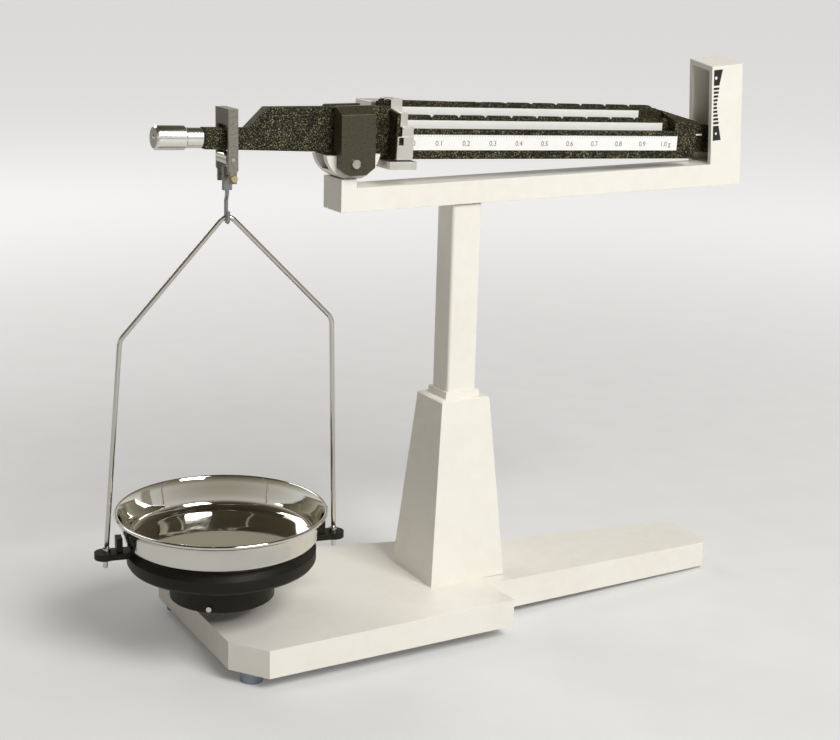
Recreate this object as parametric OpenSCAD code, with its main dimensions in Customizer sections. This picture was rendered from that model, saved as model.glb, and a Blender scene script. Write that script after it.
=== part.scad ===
// Single pan balance with four poise beams, a hanging pan and an index housing.
// Z is up, X runs along the beam from the pan to the index, Y points to the rear.
// The instrument is drawn from the column's axis and then moved so that the
// middle of its whole box lies on the Z axis, with its feet on Z = 0.

/* [Base] */
// Length of the wide plate, along the beam
plate_l = 147; // [120:0.2:170]
// Twice the depth of the base plate before the column's axis
plate_w = 104; // [80:1:124]
// Depth of the base plate behind the column's axis, at its left end
plate_back = 77.5; // [64:0.5:84]
// Depth of the base plate behind the column's axis, at its right end
plate_back_r = 41; // [36:0.5:48]
// Height of the plate and of the tongue
plate_h = 14; // [12:0.5:20]
// Gap between the plate's lower edge and the table
plate_gap = 6.5; // [5:0.5:9]
// Cut corners of the base plate, along its length
plate_chamfer = 13; // [6:0.5:18]
// Cut corners of the base plate, across its length
plate_chamfer_y = 18; // [10:0.5:20]
// How far the left end's back corner stands in from its front corner
plate_skew = 1.5; // [0:0.5:4]
// Distance from the column's axis to the plate's right edge
plate_right = 8; // [4:0.5:16]
// Length of the tongue past the plate
tongue_l = 152.6; // [110:0.2:180]
// Width of the tongue where it leaves the plate
tongue_w0 = 59; // [48:1:76]
// Width of the tongue at its free end
tongue_w1 = 37; // [30:1:44]
// How far the tongue's free end is set towards the front
tongue_set = 2.5; // [0:0.25:4]
// Gap between the tongue's lower edge and the table, at the plate
tongue_gap = 4.8; // [4:0.1:6]
// Gap between the tongue's lower edge and the table, at its free end
tongue_end_gap = 1.5; // [1:0.1:2.5]
// How far the tongue drops towards its free end
tongue_drop = 5; // [3:0.25:5.5]
// Side of the small cut corners at the tongue's end
tongue_chamfer = 5; // [1:0.5:7]
// Wall of the base casting
base_wall = 3.5; // [2.5:0.25:5]
// Thickness of the base casting's deck
deck_t = 4; // [3:0.25:6]
// Diameter of the fixed feet
foot_d = 11; // [9:0.5:14]
// From the base plate's left end to the feet's axes
foot_inset = 11; // [10.5:0.5:16]
// From the base plate's front edge to the front foot's axis
foot_inset_y = 16; // [14:0.5:22]
// Diameter of the levelling foot's disc
level_d = 20; // [14:0.5:24]
// Diameter of the levelling screw's stem
level_stem_d = 5; // [4:0.5:7]

/* [Column] */
// Pedestal's half width along the beam, at its foot
ped_x0 = 21.8; // [18:0.2:26]
// Pedestal's half depth at its foot
ped_y0 = 20.2; // [18:0.2:26]
// Pedestal's half width along the beam, at its ledge
ped_x1 = 13.9; // [12:0.1:17]
// Pedestal's half depth at its ledge
ped_y1 = 12.4; // [11:0.1:16]
// Height of the pedestal from the deck to its ledge
ped_h = 95; // [70:1:120]
// Height of the low collar round the column's foot
cap_h = 3.5; // [2:0.25:6]
// Wall of the pedestal
ped_wall = 3.2; // [2.4:0.2:5]
// Column's width along the beam
col_x = 16.8; // [14:0.2:19]
// Column's depth
col_y = 15.2; // [12:0.2:18]
// Wall of the column
col_wall = 3; // [2:0.2:4]
// Height of the support arm's lower face above the table
arm_z = 213.5; // [190:0.5:240]
// Diameter of the tie rod inside the column
rod_d = 5; // [4:0.5:6]

/* [Support arm] */
// Distance from the column's axis to the arm's left end
arm_left = 70.6; // [64:0.2:72]
// Distance from the column's axis to the arm's right end
arm_right = 173.4; // [150:0.1:190]
// Depth of the arm and of the index housing
arm_w = 18.4; // [16:0.2:22]
// Height of the arm at its left end
arm_h0 = 11.1; // [9:0.1:14]
// Height of the arm at the housing
arm_h1 = 11.4; // [9:0.1:14]
// Rise of the arm's lower face along its length
arm_rise = 2; // [0:0.1:3]
// Length of the raised pad at the arm's left end
pad_l = 8.2; // [6:0.2:12]
// Height of the bearing block's seat above the table
seat_z = 229; // [210:0.5:256]
// Width of the index housing, along the beam
house_l = 22.5; // [19:0.5:28]
// Height of the housing's top above the table, at its front
house_z = 279.9; // [255:0.2:300]
// Rise of the housing's top from its front to its back
house_rise = 3; // [0:0.25:4]
// Lean of the index housing towards the column, in degrees
house_lean = 4; // [0:0.25:5]
// Wall of the index housing
house_wall = 2.4; // [1.8:0.1:2.8]

/* [Beam] */
// Fulcrum to column axis, along the beam
fulcrum_x = 63.6; // [58:0.2:68]
// Fulcrum edge above the bearing block's seat
fulcrum_h = 20; // [18:0.25:24]
// Length of the pan arm, from knife edge to knife edge
pan_arm = 60.6; // [58:0.2:66]
// Slope of the beam at rest, right end down
rest_tilt = 2.2; // [0:0.1:3]
// Thickness of the four bars
bar_t = 3; // [2.2:0.1:3.4]
// Spacing of the bars
bar_pitch = 6.2; // [6:0.1:7]
// Lower edge of the beam below the knife line
beam_low = 10.5; // [8:0.1:11]
// Top of the front bar above the knife line
bar1_top = 3.7; // [2.5:0.1:5]
// Top of the second bar above the knife line
bar2_top = 9.7; // [8.5:0.1:11]
// Top of the third bar above the knife line
bar3_top = 15.7; // [14.5:0.1:17]
// Top of the rear bar above the knife line, at its left end
bar4_top = 15.6; // [14.5:0.1:17]
// Thickness of the beam's narrow pan arm
arm_t = 6; // [5:0.2:6.6]
// Distance between two marks of a scale
mark_pitch = 15.2; // [14:0.1:16]
// Fulcrum to the scales' zero mark
zero_u = 28.8; // [27:0.2:31]
// Depth of the notches
notch_d = 2.4; // [1.5:0.1:3]
// Thickness of the scale plates
scale_t = 0.5; // [0.4:0.1:0.8]
// Knife diameter across its body
knife_s = 4; // [3:0.2:4.6]

/* [Poises] */
// Width of the poises' hangers
poise_w = 6.2; // [5.4:0.2:9]
// Width of the two heavy poises
heavy_w = 14.6; // [13:0.2:16]
// Sheet thickness of the poises
poise_t = 0.6; // [0.5:0.1:0.8]
// Depth of the rear poise's weight
rear_d = 16; // [10:0.5:20]
// Height of the rear poise's weight above the knife line
rear_top = 14.5; // [12:0.1:16]

/* [Pan] */
// Pan diameter over its rim
pan_d = 101.6; // [92:0.2:104]
// Depth of the pan
pan_h = 16; // [13:0.5:19]
// Thickness of the pan's sheet
pan_t = 0.9; // [0.7:0.1:1.4]
// Height of the pan's floor above the table
pan_z = 57; // [48:0.5:66]
// Distance from the pan's rim to the bow's wire at the ears
bow_reach = 4.9; // [4:0.1:6]
// How far the bow's left shoulder stands inside its ear
left_shoulder_in = 9; // [4:0.25:10]
// How far the bow's right shoulder stands inside its ear
right_shoulder_in = 2.5; // [1:0.25:8]
// Height of the bow's left shoulder above the table
left_shoulder_z = 158; // [140:1:170]
// Height of the bow's right shoulder above the table
right_shoulder_z = 163.7; // [140:1:170]
// Distance from the pan's axis to the top of the bow
bow_set = 3.1; // [0:0.1:4]
// Diameter of the bow's wire
wire_d = 2.3; // [2:0.1:2.8]
// Turn of the bow's plane about the vertical
bow_yaw = -11; // [-20:1:20]
// Radius of the pan support's boss
boss_support_r = 25.2; // [20:0.2:28]
// Height of the pan's floor above the boss's lower face
support_h = 27; // [24:0.5:32]
// Knife line to the hook's pin
stirrup_drop = 19.6; // [19:0.1:24]
// Hook's pin to the top of the bow
hook_drop = 18.5; // [16:0.1:22]

/* [Fits] */
// Gap between a shaft and its bore, on the radius
running = 0.05; // [0.02:0.01:0.09]
// Gap between pieces that pass each other
passing = 0.4; // [0.3:0.05:0.45]
// Gap between a knife edge and its agate
edge_gap = 0.05; // [0.03:0.01:0.2]

/* [Hidden] */
$fn = 64;
EPS = 0.01;

CREAM = [0.93, 0.91, 0.84];
BLACK = [0.13, 0.13, 0.12];
PAINT_GREY = [0.36, 0.36, 0.34];
NICKEL = [0.82, 0.82, 0.80];
STEEL = [0.55, 0.56, 0.58];
WHITE = [0.93, 0.93, 0.90];
RUBBER = [0.20, 0.20, 0.21];
AGATE = [0.62, 0.30, 0.18];
BRASS = [0.78, 0.62, 0.30];

deck_z = plate_gap + plate_h;
plate_left = plate_l - plate_right;
tongue_end = plate_right + tongue_l;
ledge_z = deck_z + ped_h;
col_z0 = ledge_z + cap_h;
fx = -fulcrum_x;
fz = seat_z + fulcrum_h;
hang_x = fx - pan_arm * cos(rest_tilt);
hang_z = fz + pan_arm * sin(rest_tilt);
pin_z = hang_z - stirrup_drop;
apex_z = pin_z - hook_drop;
pan_r = pan_d / 2;
wall_r = pan_r - 4.5;
support_r = wall_r - 1.1;
bow_r = pan_r + bow_reach;
ear_r = 5;
centre_x = (arm_right + hang_x - (bow_set + bow_r) * cos(bow_yaw) - ear_r) / 2;
house_x = arm_right - house_l;
house_half = arm_w / 2;
arm_top1 = arm_z + arm_rise + arm_h1;
house_floor = seat_z;

module stand() translate([-centre_x, -centre_y, 0]) children();
module on_beam() stand() translate([fx, 0, fz]) rotate([0, rest_tilt, 0]) children();
module at_hang() stand() translate([hang_x, 0, 0]) children();
module on_bow() at_hang() rotate([0, 0, bow_yaw]) translate([-bow_set, 0, 0]) children();

// An outline in X and Z, drawn out along Y between y0 and y1
module slab_y(points, y0, y1) translate([0, y1, 0]) rotate([90, 0, 0]) linear_extrude(y1 - y0) polygon(points);
// A box between two corners
module block(a, b) translate(a) cube(b - a);
// A rod along Y
module rod_y(x, z, d, y0, y1) translate([x, y0, z]) rotate([-90, 0, 0]) cylinder(d = d, h = y1 - y0);
// A rod along X
module rod_x(x0, x1, z, d) translate([x0, 0, z]) rotate([0, 90, 0]) cylinder(d = d, h = x1 - x0);
// A rod along Z
module rod_z(x, y, d, z0, z1) translate([x, y, z0]) cylinder(d = d, h = z1 - z0);
// A rectangle with round corners, as exact arcs
module round_rect(w, h, r) {
    square([w - 2 * r, h], center = true);
    square([w, h - 2 * r], center = true);
    for (sx = [-1, 1], sy = [-1, 1])
        translate([sx * (w / 2 - r), sy * (h / 2 - r)]) circle(r = r);
}
// A tapered box on half widths
module taper(x0, y0, x1, y1, z0, z1) intersection() {
    slab_y([[-x0, z0], [x0, z0], [x1, z1], [-x1, z1]], -y0, y0);
    rotate([0, 0, 90]) slab_y([[-y0, z0], [y0, z0], [y1, z1], [-y1, z1]], -x0, x0);
}

// Base casting: wide plate and tongue, hollow underneath
function plate_back_at(x) = plate_back_r
    + (plate_back - plate_back_r) * (plate_right - x) / (plate_right + plate_left - plate_chamfer);
plate_back_x = -plate_left + plate_skew + plate_chamfer;
centre_y = (plate_back_at(plate_back_x) - plate_w / 2) / 2;
plate_edge = [[-plate_left, -plate_w / 2 + plate_chamfer_y], [-plate_left + plate_chamfer, -plate_w / 2],
              [plate_right, -plate_w / 2], [plate_right, plate_back_r], [plate_back_x, plate_back_at(plate_back_x)],
              [plate_back_x - plate_chamfer, plate_back - plate_chamfer_y]];
function inset_corner(a, b, c, d) = let (u = (b - a) / norm(b - a), v = (c - b) / norm(c - b))
    b + d / (1 + u * v) * [-u[1] - v[1], u[0] + v[0]];
function plate_plan(inset) = [for (i = [0:5])
    inset_corner(plate_edge[(i + 5) % 6], plate_edge[i], plate_edge[(i + 1) % 6], inset)];
function tongue_plan(inset, from) = let (e = tongue_end - inset, w0 = tongue_w0 / 2 - inset,
                                   y0 = -tongue_w1 / 2 - tongue_set + inset, y1 = tongue_w1 / 2 - tongue_set - inset,
                                   c = tongue_chamfer)
    [[from, -w0], [e - c, y0], [e, y0 + c], [e, y1 - c], [e - c, y1], [from, w0]];
function tongue_side(low, end_low, high, x0, x1) =
    [[x0, low], [plate_right, low], [x1, end_low], [x1, high - tongue_drop], [plate_right, high], [x0, high]];

foot_xs = -plate_left + foot_inset;
function foot_y(s) = s < 0 ? -plate_w / 2 + foot_inset_y : plate_back - plate_chamfer_y - 2;
level_x = tongue_end - level_d / 2 - base_wall - 1;
level_y = -tongue_set * (level_x - plate_right) / tongue_l;
level_top = deck_z - tongue_drop * (level_x - plate_right) / tongue_l;
level_cover = 1.5;
boss_r = 6;

module base_plate() stand() color(CREAM) difference() {
    union() {
        difference() {
            union() {
                translate([0, 0, plate_gap]) linear_extrude(plate_h) polygon(plate_plan(0));
                intersection() {
                    translate([0, 0, -EPS]) linear_extrude(deck_z + 1) polygon(tongue_plan(0, 0));
                    slab_y(tongue_side(tongue_gap, tongue_end_gap, deck_z, 0, tongue_end), -tongue_w0, tongue_w0);
                }
            }
            translate([0, 0, -EPS]) linear_extrude(deck_z - deck_t + EPS) polygon(plate_plan(base_wall));
            intersection() {
                translate([0, 0, -tongue_drop]) linear_extrude(deck_z + 1) polygon(tongue_plan(base_wall, -EPS));
                slab_y(tongue_side(-1, -2, deck_z - deck_t, -1, tongue_end), -tongue_w0, tongue_w0);
            }
        }
        for (s = [-1, 1]) rod_z(foot_xs, foot_y(s), foot_d + 2, plate_gap + 1, deck_z - deck_t + EPS);
        rod_z(level_x, level_y, 2 * boss_r, level_top - deck_t - 3, level_top - deck_t + 1);
    }
    for (s = [-1, 1]) rod_z(foot_xs, foot_y(s), 3, plate_gap, deck_z - deck_t + 1);
    for (s = [-1, 1]) rod_z(foot_xs, foot_y(s), foot_d + 0.4, 0, plate_gap + 1);
    rod_z(level_x, level_y, level_stem_d + 4, 0, level_top - level_cover);
    rod_z(0, 0, rod_d + 1, 0, deck_z + 1);
}
module fixed_feet() stand() color(RUBBER) for (s = [-1, 1])
    difference() {
        rod_z(foot_xs, foot_y(s), foot_d, 0, plate_gap + 1);
        rod_z(foot_xs, foot_y(s), 6.4, -1, 2.5);
        rod_z(foot_xs, foot_y(s), 3.2, 2, plate_gap + 2);
    }
module foot_screws() stand() color(STEEL) for (s = [-1, 1]) {
    rod_z(foot_xs, foot_y(s), 5.6, 0.9, 2.5);
    rod_z(foot_xs, foot_y(s), 2.9, 2.5 - EPS, deck_z - deck_t);
}
// Levelling screw: milled disc on a stem, turned by hand from below the tongue's end
level_disc_h = level_top - deck_t - 3 - 1.6;
module levelling_screw() stand() color(NICKEL) {
    difference() {
        rod_z(level_x, level_y, level_d, 0, level_disc_h);
        for (i = [0:23]) translate([level_x, level_y, -1]) rotate([0, 0, i * 15])
            translate([level_d / 2 + 0.35, 0, 0]) cylinder(d = 1.6, h = level_disc_h + 2, $fn = 16);
    }
    rod_z(level_x, level_y, level_stem_d, level_disc_h - EPS, level_top - level_cover - 0.7);
}
module levelling_bush() stand() color(BRASS) difference() {
    rod_z(level_x, level_y, level_stem_d + 4, level_top - deck_t - 3, level_top - level_cover - 0.2);
    rod_z(level_x, level_y, level_stem_d + 2 * running, 0, deck_z);
}

// Pedestal: hollow tapered casting with a flat ledge and a low collar round the column's foot
socket_h = 16;
ledge_edge = 0.8;
module pedestal() stand() color(CREAM) difference() {
    union() {
        taper(ped_x0, ped_y0, ped_x1, ped_y1, deck_z, ledge_z - ledge_edge);
        taper(ped_x1, ped_y1, ped_x1 - ledge_edge, ped_y1 - ledge_edge, ledge_z - ledge_edge - EPS, ledge_z);
        taper(col_x / 2 + 1.4, col_y / 2 + 1.4, col_x / 2 + 1.1, col_y / 2 + 1.1, ledge_z - EPS, col_z0);
    }
    taper(ped_x0 - ped_wall, ped_y0 - ped_wall, ped_x1 - ped_wall, ped_y1 - ped_wall, deck_z - EPS, col_z0 - socket_h - 4);
    translate([0, 0, col_z0 - socket_h]) linear_extrude(socket_h + 1) round_rect(col_x, col_y, 1.6);
    rod_z(0, 0, rod_d + 1, deck_z, col_z0);
}
module column() stand() color(CREAM) difference() {
    translate([0, 0, col_z0 - socket_h]) linear_extrude(arm_z - col_z0 + socket_h) round_rect(col_x, col_y, 1.6);
    translate([0, 0, col_z0 - socket_h - 1]) linear_extrude(arm_z - col_z0 + socket_h - 5)
        round_rect(col_x - 2 * col_wall, col_y - 2 * col_wall, 1);
    rod_z(0, 0, rod_d + 1, arm_z - 20, arm_z + 1);
}
// Tie rod: from a nut under the deck up into the arm
rod_low = deck_z - deck_t - 6;
rod_top = arm_z + 8;
module tie_rod() stand() color(STEEL) rod_z(0, 0, rod_d, rod_low, rod_top);
module tie_nut() stand() color(STEEL) difference() {
    union() {
        translate([0, 0, deck_z - deck_t - 4.5]) cylinder(d = 10, h = 3.3, $fn = 6);
        rod_z(0, 0, 13, deck_z - deck_t - 1.2 - EPS, deck_z - deck_t);
    }
    rod_z(0, 0, rod_d + 2 * running, 0, deck_z);
}

// Support arm: bar, raised pad and the index housing in one casting
arm_slope = arm_rise / (arm_left + arm_right);
function arm_under(x) = arm_z + arm_slope * (x + arm_left);
function arm_over(x) = arm_z + arm_h0 + (arm_top1 - arm_z - arm_h0) * (x + arm_left) / (house_x + arm_left);
house_r = 3;
arm_under1 = arm_z + arm_rise;
// The housing leans about the lower right corner of the casting
module in_house() translate([arm_right, 0, arm_under1]) rotate([0, -house_lean, 0]) translate([-arm_right, 0, -arm_under1])
    children();
// All that lies under the housing's sloping top
module under_top(drop) in_house() translate([house_x - 5, 0, 0]) rotate([90, 0, 90]) linear_extrude(house_l + 10)
    polygon([[-arm_w, arm_z - 10], [arm_w, arm_z - 10], [arm_w, house_z - drop + house_rise * 1.5],
             [-arm_w, house_z - drop - house_rise * 0.5]]);
module housing_outline() translate([house_x + house_l / 2, 0]) round_rect(house_l, arm_w, house_r);
module support_arm() stand() color(CREAM) difference() {
    union() {
        slab_y([[-arm_left, arm_z], [house_x + house_r, arm_under(house_x + house_r)], [house_x + house_r, arm_top1],
                [-arm_left + pad_l, arm_over(-arm_left + pad_l)], [-arm_left + pad_l, seat_z], [-arm_left, seat_z]],
               -house_half, house_half);
        intersection() {
            in_house() translate([0, 0, arm_z - 6]) linear_extrude(house_z - arm_z + 12) {
                housing_outline();
                translate([house_x, -house_half]) square([house_r, arm_w]);
            }
            slab_y([[house_x - 20, arm_under(house_x - 20)], [arm_right + 5, arm_under(arm_right + 5)],
                    [arm_right + 5, house_z + 20], [house_x - 20, house_z + 20]], -arm_w, arm_w);
            under_top(0);
        }
    }
    intersection() {
        in_house() block([house_x - 1, -house_half + house_wall, house_floor],
                         [arm_right - house_wall, house_half - house_wall, house_z + 6]);
        under_top(2.8);
    }
    block([-arm_left - 1, house_half - 4.2, arm_z - 1], [-arm_left + 15, house_half - 2.6, arm_z + 2.2]);
    rod_z(0, 0, rod_d + 0.04, arm_z - 1, rod_top);
    rod_z(block_x, 0, 4.4, arm_z - 1, seat_z + 1);
    in_house() rod_x(arm_right - house_wall - 1, arm_right + 1, magnet_z, 3.2);
}
// Magnetic damper inside the housing: two magnets on a bracket, with the vane between them
magnet_z = 255;
magnet_gap = 3.6;
magnet_t = 3;
bracket_x = arm_right - house_wall;
module damper_bracket() stand() color(STEEL) in_house() difference() {
    union() {
        block([bracket_x - 1.2, -magnet_gap / 2 - magnet_t - 1, magnet_z - 5],
              [bracket_x, magnet_gap / 2 + magnet_t + 1, magnet_z + 5]);
        for (s = [-1, 1]) mirror([0, (1 - s) / 2, 0])
            block([bracket_x - 9, magnet_gap / 2 + magnet_t, magnet_z - 5],
                  [bracket_x - 1, magnet_gap / 2 + magnet_t + 1, magnet_z + 5]);
    }
    rod_x(bracket_x - 3, bracket_x + 1, magnet_z, 3.1);
}
module damper_magnets() stand() color(BLACK) in_house() for (s = [-1, 1]) mirror([0, (1 - s) / 2, 0])
    block([bracket_x - 9, magnet_gap / 2, magnet_z - 5], [bracket_x - 3.5, magnet_gap / 2 + magnet_t, magnet_z + 5]);
module damper_screw() stand() color(STEEL) in_house() {
    rod_x(bracket_x - 2.8, bracket_x - 1.2, magnet_z, 5);
    rod_x(bracket_x - 1.2 - EPS, arm_right - 0.3, magnet_z, 3);
}

// Bearing block: half-round casting with two slotted ears that carry the agates
block_x = -arm_left + pad_l / 2;
block_r = 14.4;
block_y = 7.6;
slot_half = arm_t / 2 + 0.9;
ear_half = 6;
agate_top = fz + 2.4;
agate_low = fz - 3;
floor_z = seat_z + 4.2;
shoulder_top = seat_z + 11;
cover_screw_x = fx - 1.6;
cover_screw_z = seat_z + 7.6;
module bearing_block() stand() color(CREAM) difference() {
    union() {
        intersection() {
            rod_y(fx, seat_z + block_r - 0.6, 2 * block_r, -block_y, block_y);
            block([fx - block_r, -block_y, seat_z], [fx + block_r, block_y, shoulder_top]);
        }
        block([fx - ear_half, -block_y, seat_z + 4], [fx + ear_half, block_y, agate_top]);
    }
    block([fx - block_r - 1, -slot_half, floor_z], [fx + block_r + 1, slot_half, agate_top + 1]);
    block([fx - 3, -block_y - 1, agate_low], [fx + 3, block_y + 1, agate_top + 1]);
    rod_z(block_x, 0, 3.4, seat_z - 1, seat_z + 3.4);
    rod_y(cover_screw_x, cover_screw_z, 2.6, -block_y - 1, block_y + 1);
}
// Agates: blocks with a V groove, in the ears
module bearing_agates() stand() color(AGATE) for (s = [-1, 1]) mirror([0, (1 - s) / 2, 0]) difference() {
    block([fx - 3, slot_half + 0.2, agate_low], [fx + 3, block_y - 0.1, fz + 0.8]);
    slab_y([[fx, fz - edge_gap], [fx + 3.5, fz + 2.6], [fx - 3.5, fz + 2.6]], 0, block_y + 1);
}
module bearing_screw() stand() color(STEEL) {
    rod_z(block_x, 0, 4, arm_z + 5, seat_z - 4);
    rod_z(block_x, 0, 3.3, arm_z + 5, seat_z + 3.4);
    rod_z(block_x, 0, 4.3, arm_z + 2.5, arm_z + 5);
}
// Bearing covers: folded sheet boxes with a sloping roof, open towards the beam
cover_hw = 9;
cover_y = 12.5;
cover_back = 4.1;
cover_low = seat_z + 2;
cover_top = fz + 10.3;
cover_crown = fz + 13.7;
cover_roof = 6;
cover_cut = [4.7, 3.3];
cover_t = 1;
module cover_form(d) intersection() {
    slab_y([[fx - cover_hw + d, cover_low + cover_cut[1] + d * 0.5], [fx - cover_hw + cover_cut[0] + d * 0.5, cover_low + d],
            [fx + cover_hw - cover_cut[0] - d * 0.5, cover_low + d], [fx + cover_hw - d, cover_low + cover_cut[1] + d * 0.5],
            [fx + cover_hw - d, cover_crown + 1], [fx - cover_hw + d, cover_crown + 1]], -cover_y - 1, -cover_back + d);
    translate([fx - cover_hw - 1, 0, 0]) rotate([90, 0, 90]) linear_extrude(2 * cover_hw + 2)
        polygon([[-cover_y + d, cover_low - 1], [-cover_y + d, cover_top - d * 0.6], [-cover_y + cover_roof, cover_crown - d],
                 [0, cover_crown - d], [0, cover_low - 1]]);
}
module cover_body() difference() {
    union() {
        difference() {
            cover_form(0);
            cover_form(cover_t);
            block([fx - cover_hw - 1, -block_y - 0.1, cover_low - 1], [fx + cover_hw + 1, -cover_back + 1, shoulder_top + 0.6]);
        }
        rod_y(cover_screw_x, cover_screw_z, 5, -cover_y + 0.5, -block_y);
    }
    rod_y(cover_screw_x, cover_screw_z, 2.6, -cover_y - 1, -block_y + 1);
}
module front_bearing_cover() stand() color(PAINT_GREY) cover_body();
module rear_bearing_cover() stand() color(PAINT_GREY) mirror([0, 1, 0]) cover_body();
module cover_screws() stand() color(NICKEL) for (s = [-1, 1]) mirror([0, (1 + s) / 2, 0]) {
    rod_y(cover_screw_x, cover_screw_z, 2.5, -cover_y, -slot_half - 0.3);
    difference() {
        rod_y(cover_screw_x, cover_screw_z, 4.2, -cover_y - 1.4, -cover_y);
        block([cover_screw_x - 3, -cover_y - 2, cover_screw_z - 0.35],
              [cover_screw_x + 3, -cover_y - 0.8, cover_screw_z + 0.35]);
    }
}

// Beam: casting in its own frame, U along it and W above the knife line
bar_ys = [for (i = [0:3]) (i - 1.5) * bar_pitch];
bar_tops = [bar1_top, bar2_top, bar3_top, bar4_top];
frame_half = 1.5 * bar_pitch + bar_t / 2;
frame_u0 = 20.8;
frame_u1 = zero_u + 10 * mark_pitch + 5.6;
end_t = 1.8;
nose_u = frame_u1 + 14.6;
nose_high = 13.6;
nose_low = 8.8;
rear_end = frame_u1 - 0.4;
bar4_end_top = bar4_top - 1.9;
// Length and depth of the slope at the third bar's right end
end_fall = [8.7, 3.3];
arm_end = pan_arm + 11.6;
arm_low = 6.9;
arm_high = 2.5;
arm_step0 = pan_arm - 8.8;
arm_step1 = pan_arm - 18.2;
arm_crown = 13.4;
arm_fall = 1.4;
knob_w = -2.1;
function mark_u(i) = zero_u + i * mark_pitch;
module nose_block() intersection() {
    slab_y([[frame_u1, -beam_low], [nose_u, -beam_low], [nose_u, nose_low], [frame_u1, nose_high]], -frame_half, frame_half);
    translate([frame_u1 - 1, 0, 0]) rotate([90, 0, 90]) linear_extrude(20)
        polygon([[-frame_half - 1, -beam_low - 1], [frame_half + 1, -beam_low - 1], [frame_half + 1, nose_high + 1],
                 [frame_half - 3, nose_high + 1], [-frame_half, nose_low], [-frame_half - 1, nose_low]]);
}
// In plan the nose runs from its front tip diagonally back to the rear bar's end
module nose_plan() polygon([[frame_u0, -frame_half - 1], [nose_u, -frame_half - 1], [nose_u, -5], [rear_end, frame_half],
                            [rear_end - 1, frame_half + 1], [frame_u0, frame_half + 1]]);
module arm_side() slab_y([[-arm_end, -arm_low], [-pan_arm + 8, -arm_low - 0.3], [-18, -arm_low - 1], [-8, -beam_low],
                          [frame_u0 + EPS, -beam_low], [frame_u0 + EPS, arm_crown], [-arm_step1, arm_crown - arm_fall],
                          [-arm_step0, arm_high], [-arm_end, arm_high]], -arm_t / 2, arm_t / 2);
module notches(i, us) for (u = us)
    slab_y([[u, bar_tops[i] - notch_d], [u + notch_d * 0.8, bar_tops[i] + EPS], [u - notch_d * 0.8, bar_tops[i] + EPS]],
           bar_ys[i] - bar_t / 2 - 1, bar_ys[i] + bar_t / 2 + 1);
module beam_casting() on_beam() color(BLACK) difference() {
    union() {
        arm_side();
        intersection() {
            union() {
                for (i = [0:2])
                    block([frame_u0 + 1, bar_ys[i] - bar_t / 2, -beam_low], [frame_u1 + 1, bar_ys[i] + bar_t / 2, bar_tops[i]]);
                slab_y([[frame_u0 + 1, -beam_low], [frame_u1 + 1, -beam_low], [frame_u1 + 1, bar4_end_top],
                        [frame_u0 + 1, bar4_top]], bar_ys[3] - bar_t / 2, bar_ys[3] + bar_t / 2);
                nose_block();
            }
            translate([0, 0, -20]) linear_extrude(50) nose_plan();
        }
        rotate([90, 0, 90]) translate([0, 0, frame_u0]) linear_extrude(end_t)
            polygon([[-frame_half, -beam_low], [frame_half, -beam_low], [frame_half, bar4_top - 0.8],
                     [-frame_half, bar2_top + 0.9]]);
        slab_y([[nose_u - 11, -8], [nose_u + 3, -5.5], [nose_u + 3, 6], [nose_u - 11, 8]], -2.2, 2.2);
    }
    notches(1, [for (i = [0:10]) mark_u(i)]);
    notches(2, [for (i = [0:10]) mark_u(i)]);
    for (u = [mark_u(0), mark_u(5), mark_u(10)])
        slab_y([[u, -beam_low + notch_d], [u + notch_d * 0.8, -beam_low - EPS], [u - notch_d * 0.8, -beam_low - EPS]],
               bar_ys[3] - bar_t / 2 - 1, bar_ys[3] + bar_t / 2 + 1);
    slab_y([[frame_u1 - end_fall[0], bar_tops[2] + EPS], [frame_u1 + 1.5, bar_tops[2] - end_fall[1]],
            [frame_u1 + 1.5, bar_tops[2] + 4], [frame_u1 - end_fall[0], bar_tops[2] + 4]],
           bar_ys[2] - bar_t / 2 - 0.5, bar_ys[2] + bar_t / 2 + 0.5);
    slab_y(knife_points(0, -1, knife_s + 0.02), -20, 20);
    slab_y(knife_points(-pan_arm, 1, pan_knife_s + 0.02), -20, 20);
    rod_x(-arm_end - 1, -arm_end + 8, knob_w, stud_d);
    rod_z(0, 0, 2.4, knife_s + 0.2, arm_crown + 1);
    rod_z(-pan_arm, 0, 2.4, -arm_low - 1, -pan_knife_s);
    block([nose_u - 3, -0.8, -12], [nose_u + 5, 0.8, 12]);
    for (w = vane_screw_ws) rod_y(vane_screw_u, w, 1.7, -3, 3);
    rod_z(plug_u, 0, 5, -beam_low - 1, -beam_low + 5);
}
// A knife is a bar with two bevels that meet in its working edge, on the knife line
function knife_points(u, up, s) = [[u, 0], [u + s / 2, -up * s / 2], [u + s / 2, -up * s * 1.1],
                                   [u - s / 2, -up * s * 1.1], [u - s / 2, -up * s / 2]];
pan_knife_s = 3;
pan_knife_half = 5.4;
module fulcrum_knife() on_beam() color(STEEL) slab_y(knife_points(0, -1, knife_s), -block_y + 0.1, block_y - 0.1);
module pan_knife() on_beam() color(STEEL) slab_y(knife_points(-pan_arm, 1, pan_knife_s), -pan_knife_half, pan_knife_half);
module knife_screws() on_beam() color(STEEL) {
    rod_z(0, 0, 2.3, knife_s * 1.1 + 0.02, arm_crown - 0.9);
    rod_z(-pan_arm, 0, 2.3, -arm_low + 0.2, -pan_knife_s * 1.1 - 0.02);
}
scale_u0 = zero_u - 3.4;
module scale_plate(i, w0, w1, u1)
    block([scale_u0, bar_ys[i] - bar_t / 2 - scale_t, w0], [u1, bar_ys[i] - bar_t / 2, w1]);
module scale_plate_1g() on_beam() color(WHITE) scale_plate(0, -6.2, 1.1, mark_u(10) + 7.6);
module scale_plate_10g() on_beam() color(WHITE) scale_plate(1, 0, 7.3, mark_u(10) + 1.8);
module scale_plate_100g() on_beam() color(WHITE) scale_plate(2, 5.8, 13, mark_u(9) + 5.5);
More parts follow.
